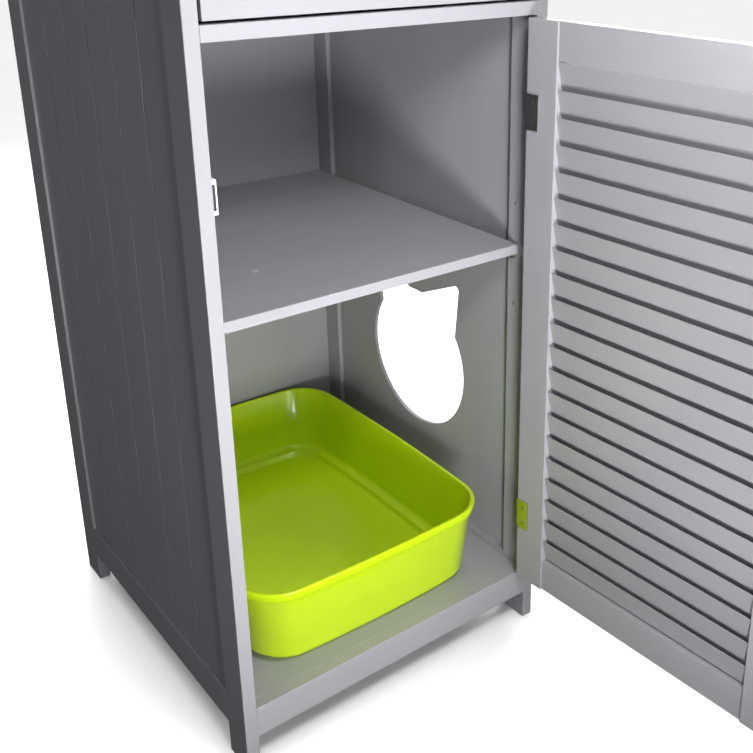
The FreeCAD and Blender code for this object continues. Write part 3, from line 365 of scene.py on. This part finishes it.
@dataclass
class Drawer:
    """Drawer box, its front, knob and runners."""

    painted: tuple[str, ...] = ("drawer_front", "drawer_back")
    sides: tuple[str, ...] = ("drawer_left_side", "drawer_right_side")

    def dress(self) -> None:
        """Paint the box, plate the knob, leave the runners bare."""
        for name in self.painted:
            dress(name, satin_paint(Run.ACROSS))
        for name in self.sides:
            dress(name, satin_paint(Run.DEEP))
        dress("drawer_floor", PAINTED_HARDBOARD)
        dress("drawer_knob", SATIN_NICKEL)
        dress("drawer_knob_screw", ZINC_PLATE)
        for side in ("left", "right"):
            dress(f"{side}_drawer_runner", BARE_BEECH)
        dress("runner_screws", ZINC_PLATE)


# ---------------------------------------------------------------- door

@dataclass
class Hinging:
    """The door's pin line and how far the door stands open."""

    pin_x: float = 404.8
    pin_y: float = -2.0
    open_degrees: float = 92.5

    def hang(self, work: bmesh.types.BMesh) -> None:
        """Swing a shape drawn with the door shut to where the door stands."""
        pin = from_corner(self.pin_x, self.pin_y, 0.0)
        bmesh.ops.rotate(work, cent=pin, matrix=Matrix.Rotation(math.radians(self.open_degrees), 3, "Z"),
                         verts=work.verts)


@dataclass
class LouvreDoor:
    """Stiles, rails, slats and knob of the door."""

    def dress(self) -> None:
        """Paint the frame and the slats and plate the knob."""
        for name in ("door_free_stile", "door_hinge_stile"):
            dress(name, satin_paint(Run.UPRIGHT))
        for name in ("door_bottom_rail", "door_top_rail", "louvre_slats"):
            dress(name, satin_paint(Run.DEEP))
        dress("door_knob", SATIN_NICKEL)
        dress("door_knob_screw", ZINC_PLATE)


# ---------------------------------------------------------------- fittings

@dataclass
class CrossHeadScrew:
    """Countersunk screw with a cross recess, drawn head up at the origin in metres."""

    head_radius: float = 3.0 * MM
    head_depth: float = 1.08 * MM
    shank_radius: float = 1.5 * MM
    length: float = 11.0 * MM
    recess_arm: float = 1.9 * MM
    recess_width: float = 0.62 * MM
    recess_depth: float = 1.5 * MM
    recess_turn: float = 28.0
    recess_taper: tuple[float, float, float] = (0.35, 0.6, 1.0)
    rim_share: float = 0.94
    rim_drop: float = 0.09 * MM
    shank_share: float = 0.85
    steps: int = 32

    def mesh(self) -> bpy.types.Mesh:
        """Turn the screw from its half outline and sink the cross into its head.

        Returns:
            The finished mesh.
        """
        work = bmesh.new()
        outline = [(0.0, 0.0), (self.head_radius * self.rim_share, 0.0), (self.head_radius, -self.rim_drop),
                   (self.shank_radius, -self.head_depth),
                   (self.shank_radius, -self.length * self.shank_share), (0.0, -self.length)]
        points = [work.verts.new((radius, 0.0, height)) for radius, height in outline]
        edges = [work.edges.new(pair) for pair in zip(points, points[1:])]
        bmesh.ops.spin(work, geom=points + edges, cent=(0, 0, 0), axis=(0, 0, 1), angle=2 * math.pi,
                       steps=self.steps, use_merge=True)
        bmesh.ops.remove_doubles(work, verts=work.verts, dist=0.001 * MM)
        bmesh.ops.recalc_face_normals(work, faces=work.faces)
        body = self._object(work, "screw_blank")
        cutter = self._object(self._cross(), "cross_cutter")
        cut = body.modifiers.new("recess", "BOOLEAN")
        # The two blades cross each other, so the cut has to allow for a cutter that meets itself.
        cut.operation, cut.solver, cut.object, cut.use_self = "DIFFERENCE", "EXACT", cutter, True
        bpy.context.view_layer.update()
        made = bpy.data.meshes.new_from_object(body.evaluated_get(bpy.context.evaluated_depsgraph_get()))
        for spare in (body, cutter):
            bpy.data.objects.remove(spare)
        if not made.polygons:
            raise RuntimeError("the cross recess left no screw behind")
        return made

    def _cross(self) -> bmesh.types.BMesh:
        """Two tapered blades that cross."""
        work = bmesh.new()
        for turn in (0.0, math.pi / 2):
            blade = bmesh.ops.create_cube(work, size=1.0)["verts"]
            bmesh.ops.scale(work, vec=(2 * self.recess_arm, self.recess_width, 2 * self.recess_depth), verts=blade)
            low = [vert for vert in blade if vert.co.z < 0]
            bmesh.ops.scale(work, vec=self.recess_taper, verts=low)
            twist = Matrix.Rotation(turn + math.radians(self.recess_turn), 3, "Z")
            bmesh.ops.rotate(work, matrix=twist, verts=blade)
        return work

    @staticmethod
    def _object(work: bmesh.types.BMesh, name: str) -> bpy.types.Object:
        """Object for the cut."""
        mesh = bpy.data.meshes.new(name)
        work.to_mesh(mesh)
        work.free()
        made = bpy.data.objects.new(name, mesh)
        bpy.context.scene.collection.objects.link(made)
        return made


@dataclass
class Fittings:
    """Hinges, magnetic catch and the screws that hold them."""

    hinge_heights: tuple[float, float] = (174.0, 687.5)
    screw_gap: float = 11.2
    catch_height: float = 648.5
    ear_gap: float = 6.5
    turn_between: float = 37.0
    hinging: Hinging = field(default_factory=Hinging)

    def dress(self) -> None:
        """Finish the leaves, pins, catch and strike plate."""
        for place in ("upper", "lower"):
            for part in ("frame_leaf", "door_leaf", "pin"):
                dress(f"{place}_hinge_{part}", BRIGHT_NICKEL)
        dress("strike_plate", BRIGHT_NICKEL)
        dress("catch_body", WHITE_ABS)
        dress("catch_magnet", DARK_FERRITE)

    def build(self) -> None:
        """Drive every screw that shows."""
        pairs = [height + sign * self.screw_gap for height in self.hinge_heights for sign in (1, -1)]
        self._drive("hinge_frame_screws", "cabinet", [(403.8, 7.15, height) for height in pairs], (1, 0, 0), 11.0)
        self._drive("hinge_door_screws", "door", [(392.8, 16.2, height) for height in pairs], (0, -1, 0), 11.0)
        ears = [(17.5, 36.8, self.catch_height + sign * self.ear_gap) for sign in (1, -1)]
        self._drive("catch_screws", "cabinet", ears, (-1, 0, 0), 8.0)
        self._drive("strike_screw", "door", [(33.0, 16.2, self.catch_height)], (0, -1, 0), 11.0)

    def _drive(self, node: str, body: str, points: list[tuple[float, float, float]],
               way: tuple[float, float, float], length: float) -> None:
        """Put cross-head screws in place of a node's plain ones.

        Args:
            node: the node they stand for.
            body: the body they ride on.
            points: middles of the heads, in millimetres from the corner, with the door shut.
            way: direction that the screws point.
            length: millimetres under the head.
        """
        pattern = CrossHeadScrew(length=length * MM).mesh()
        work = bmesh.new()
        turn = Vector((0, 0, -1)).rotation_difference(Vector(way)).to_matrix()
        for count, point in enumerate(points):
            start = len(work.verts)
            work.from_mesh(pattern)
            work.verts.ensure_lookup_table()
            fresh = work.verts[start:]
            bmesh.ops.rotate(work, matrix=Matrix.Rotation(math.radians(self.turn_between * count), 3, "Z"), verts=fresh)
            bmesh.ops.rotate(work, matrix=turn, verts=fresh)
            bmesh.ops.translate(work, vec=from_corner(*point), verts=fresh)
        if body == "door":
            self.hinging.hang(work)
        piece = stand(work, f"{node}_cross_head", ZINC_PLATE, smooth=False)
        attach(piece, body)
        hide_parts(node)


# ---------------------------------------------------------------- litter pan

@dataclass
class LitterPan:
    """Moulded litter pan with bowed sides, a stepped foot and a turned-down rim. Sizes in millimetres."""

    corner: float = 52.0
    corner_share: float = 0.45
    bow: float = 6.0
    side_steps: int = 7
    corner_steps: int = 14
    section: tuple[tuple[float, float, float], ...] = (
        # inset from the widest outline, height above the foot, radius of the bend there
        (22.3, 0.0, 0.9), (20.0, 8.6, 0.7), (14.0, 9.2, 2.4), (3.5, 104.6, 0.3), (2.7, 104.6, 0.3),
        (3.4, 96.0, 0.6), (1.2, 96.0, 0.7), (0.0, 107.0, 2.2), (5.2, 107.0, 1.7), (16.4, 13.5, 6.0),
        (25.4, 10.6, 1.4), (27.6, 2.5, 2.0))

    def build(self) -> None:
        """Draw the outline once for each corner of the section, then round the bends."""
        low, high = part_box("litter_pan")
        low, high = Vector(low), Vector(high)
        middle = (low + high) / 2
        half = (high - low) / 2
        count = 4 * (2 * self.side_steps + self.corner_steps)
        work = bmesh.new()
        ring = bmesh.ops.create_circle(work, segments=count, radius=1.0)["verts"]
        ring = sorted(ring, key=lambda vert: math.atan2(vert.co.y, vert.co.x) % (2 * math.pi))
        loops: list[tuple[list[bmesh.types.BMEdge], float]] = []
        edges = list(work.edges)
        for step, (inset, height, bend) in enumerate(self.section):
            if step:
                grown = bmesh.ops.extrude_edge_only(work, edges=edges)["geom"]
                twins = {self._key(item.co): item for item in grown if isinstance(item, bmesh.types.BMVert)}
                ring = [twins[self._key(vert.co)] for vert in ring]
                edges = [item for item in grown if isinstance(item, bmesh.types.BMEdge)]
            for index, vert in enumerate(ring):
                flat = self.outline_point(index, inset, half)
                vert.co = Vector((middle.x + flat.x, middle.y + flat.y, low.z + height * MM))
            loops.append((edges, bend))
            if step == 0:
                bmesh.ops.edgenet_fill(work, edges=edges)
        bmesh.ops.edgenet_fill(work, edges=edges)
        for edges, bend in loops:
            bmesh.ops.bevel(work, geom=[edge for edge in edges if edge.is_valid], offset=bend * MM,
                            offset_type="OFFSET", affect="EDGES", segments=max(2, min(8, round(bend))),
                            profile=0.5, material=-1, clamp_overlap=True)
        bmesh.ops.recalc_face_normals(work, faces=work.faces)
        piece = stand(work, "litter_pan_shell", LIME_PLASTIC)
        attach(piece, "pan")
        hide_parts("litter_pan")

    @staticmethod
    def _key(place: Vector) -> tuple[int, int, int]:
        """Place as whole hundredths of a millimetre."""
        return tuple(round(value * 1e5) for value in place)

    def outline_point(self, index: int, inset: float, half: Vector) -> Vector:
        """One point of the pan's outline.

        Args:
            index: which point, anticlockwise from the middle of the right side.
            inset: millimetres in from the widest outline.
            half: half of the pan's size, in metres.

        Returns:
            The point from the pan's middle.
        """
        quarter, place = divmod(index, 2 * self.side_steps + self.corner_steps)
        wide, long = (half.x, half.y) if quarter % 2 == 0 else (half.y, half.x)
        wide, long = wide - inset * MM, long - inset * MM
        radius = (self.corner - self.corner_share * inset) * MM
        if place <= self.side_steps:
            flat = Vector((wide, (long - radius) * place / self.side_steps))
        elif place <= self.side_steps + self.corner_steps:
            angle = math.pi / 2 * (place - self.side_steps) / self.corner_steps
            flat = Vector((wide - radius + radius * math.cos(angle), long - radius + radius * math.sin(angle)))
        else:
            left = (2 * self.side_steps + self.corner_steps - place) / self.side_steps
            flat = Vector(((wide - radius) * left, long))
        bow = self.bow * MM
        bowed = Vector((flat.x * (1 - bow / wide * (flat.y / long) ** 2),
                        flat.y * (1 - bow / long * (flat.x / wide) ** 2)))
        bowed.rotate(Matrix.Rotation(math.pi / 2 * quarter, 2))
        return bowed


# ---------------------------------------------------------------- studio

@dataclass
class StudioLight:
    """A soft light of the studio."""

    name: str
    place: Vector
    aim: Vector
    width: float
    height: float
    watts: float
    spread: float = 180.0

    def hang(self) -> bpy.types.Object:
        """Hang the light.

        Returns:
            The light's object.
        """
        lamp = bpy.data.lights.new(self.name, "AREA")
        lamp.shape, lamp.size, lamp.size_y = "RECTANGLE", self.width, self.height
        lamp.energy = self.watts
        lamp.spread = math.radians(self.spread)
        made = bpy.data.objects.new(self.name, lamp)
        made.location = self.place
        made.rotation_mode = "QUATERNION"
        made.rotation_quaternion = (self.aim - self.place).to_track_quat("-Z", "Y")
        made.visible_camera = False
        bpy.context.scene.collection.objects.link(made)
        return made


@dataclass
class Studio:
    """Pale floor, soft lights and dim surroundings."""

    floor_half: float = 30.0
    floor_light: float = 3.1
    wall_share: float = 0.98
    wall_sides: int = 64
    wall_glow: float = 0.93
    room_behind: float = 0.07
    room_ahead: float = 0.075

    def build(self) -> None:
        """Lay the floor and hang the lights."""
        floor = self._floor()
        self._floor_light(floor)
        self._backdrop()
        for light in self.lights():
            light.hang()
        self._surroundings()

    def lights(self) -> list[StudioLight]:
        """The lights that shine on the cabinet."""
        inside = from_corner(210, 100, 430)
        return [
            StudioLight("high_front_softbox", from_corner(90, -620, 1190), inside, 0.22, 0.22, 6.4),
            StudioLight("low_front_softbox", from_corner(-50, -760, 200), from_corner(200, 0, 600), 0.20, 0.20, 4.4,
                        spread=115.0),
            StudioLight("room_window", from_corner(400, -1300, 500), inside, 0.70, 0.70, 5.6),
            StudioLight("near_top_strip", from_corner(200, -420, 980), from_corner(220, 100, 300), 0.20, 0.12, 1.2),
            StudioLight("left_fill", from_corner(-1900, 700, 1300), from_corner(0, 240, 700), 1.0, 1.0, 6.5),
            StudioLight("right_fill", from_corner(2300, 1100, 1200), from_corner(420, 0, 450), 1.2, 1.2, 45.0),
            StudioLight("rear_softbox", from_corner(500, 2300, 1700), inside, 1.2, 1.2, 50.0),
        ]

    def _floor(self) -> bpy.types.Object:
        """Plain pale floor that shows the cabinet's shadow but throws no light back on it."""
        work = bmesh.new()
        bmesh.ops.create_grid(work, x_segments=1, y_segments=1, size=self.floor_half)
        paper = Finish("pale_floor_paper", "#F2F2F2", "#F0F0F0", 0.85, 0.03, 400.0, 30.0, 0.01)
        floor = stand(work, "studio_floor", paper, smooth=False)
        floor.visible_diffuse = False
        floor.visible_glossy = False
        return floor

    def _backdrop(self) -> None:
        """Pale wall all round, far off. It neither lights the cabinet nor shows in its gloss."""
        work = bmesh.new()
        radius = self.floor_half * self.wall_share
        bmesh.ops.create_cone(work, cap_ends=True, segments=self.wall_sides, radius1=radius, radius2=radius,
                              depth=self.floor_half)
        bmesh.ops.translate(work, vec=(0.0, 0.0, radius / 2), verts=work.verts)
        bmesh.ops.delete(work, geom=[face for face in work.faces if face.normal.z < -0.5], context="FACES_ONLY")
        bmesh.ops.reverse_faces(work, faces=work.faces)
        paper = Finish("pale_backdrop_paper", "#F2F2F2", "#F0F0F0", 0.9, 0.03, 400.0, 30.0, 0.01)
        wall = stand(work, "studio_backdrop", paper, smooth=False)
        lit = paper.material().node_tree
        shader = next(node for node in lit.nodes if node.type == "BSDF_PRINCIPLED")
        shader.inputs["Emission Color"].default_value = linear("#FFFFFF")
        shader.inputs["Emission Strength"].default_value = self.wall_glow
        wall.visible_diffuse = wall.visible_glossy = wall.visible_transmission = wall.visible_shadow = False

    def _floor_light(self, floor: bpy.types.Object) -> None:
        """Even light from above that shines on the floor alone."""
        lamp = bpy.data.lights.new("floor_wash", "SUN")
        lamp.energy, lamp.angle = self.floor_light, math.radians(70)
        made = bpy.data.objects.new("floor_wash", lamp)
        bpy.context.scene.collection.objects.link(made)
        only = bpy.data.collections.new("lit_by_floor_wash")
        only.objects.link(floor)
        made.light_linking.receiver_collection = only

    def _surroundings(self) -> None:
        """Dim room, a little brighter in front."""
        world = bpy.data.worlds.new("studio_room")
        bpy.context.scene.world = world
        world.use_nodes = True
        tree = world.node_tree
        tree.nodes.clear()
        way = add_node(tree, "ShaderNodeTexCoord").outputs["Generated"]
        split = add_node(tree, "ShaderNodeSeparateXYZ", {0: way})
        front = add_node(tree, "ShaderNodeMapRange", {
            "Value": split.outputs["Y"], "From Min": 0.6, "From Max": -1.0,
            "To Min": self.room_behind, "To Max": self.room_ahead})
        shade = add_node(tree, "ShaderNodeBackground", {"Color": linear("#F4F6FF"), "Strength": front.outputs[0]})
        add_node(tree, "ShaderNodeOutputWorld", {"Surface": shade.outputs[0]})


@dataclass
class Camera:
    """Camera close to the photograph's place, without its lens distortion and with little shift."""

    place: Vector = field(default_factory=lambda: from_corner(-367.08, -829.68, 910.26))
    yaw: float = 40.446
    pitch: float = -19.765
    roll: float = 0.609
    lens: float = 48.881
    shift: tuple[float, float] = (-0.15, -0.15)

    def build(self) -> None:
        """Make the camera and look through it."""
        lens = bpy.data.cameras.new("photo_camera")
        lens.sensor_width, lens.lens = 36.0, self.lens
        lens.shift_x, lens.shift_y = self.shift
        made = bpy.data.objects.new("photo_camera", lens)
        yaw, pitch, roll = (math.radians(angle) for angle in (self.yaw, self.pitch, self.roll))
        ahead = Vector((math.sin(yaw) * math.cos(pitch), math.cos(yaw) * math.cos(pitch), math.sin(pitch)))
        right = ahead.cross(Vector((0, 0, 1))).normalized()
        up = right.cross(ahead)
        tipped_right = right * math.cos(roll) + up * math.sin(roll)
        tipped_up = up * math.cos(roll) - right * math.sin(roll)
        turned = Matrix((tipped_right, tipped_up, -ahead)).transposed().to_4x4()
        made.matrix_world = Matrix.Translation(self.place) @ turned
        bpy.context.scene.collection.objects.link(made)
        bpy.context.scene.camera = made


def main() -> None:
    """Build and dress every sub-assembly, then the studio and the camera."""
    logging.basicConfig(level=logging.INFO, format="%(name)s: %(message)s")
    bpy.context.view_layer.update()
    bpy.context.scene.view_settings.view_transform = "Standard"
    Carcass().dress()
    Shelf().dress()
    Drawer().dress()
    LouvreDoor().dress()
    fittings = Fittings()
    fittings.dress()
    fittings.build()
    LitterPan().build()
    Studio().build()
    Camera().build()


if __name__ == "__main__":
    main()
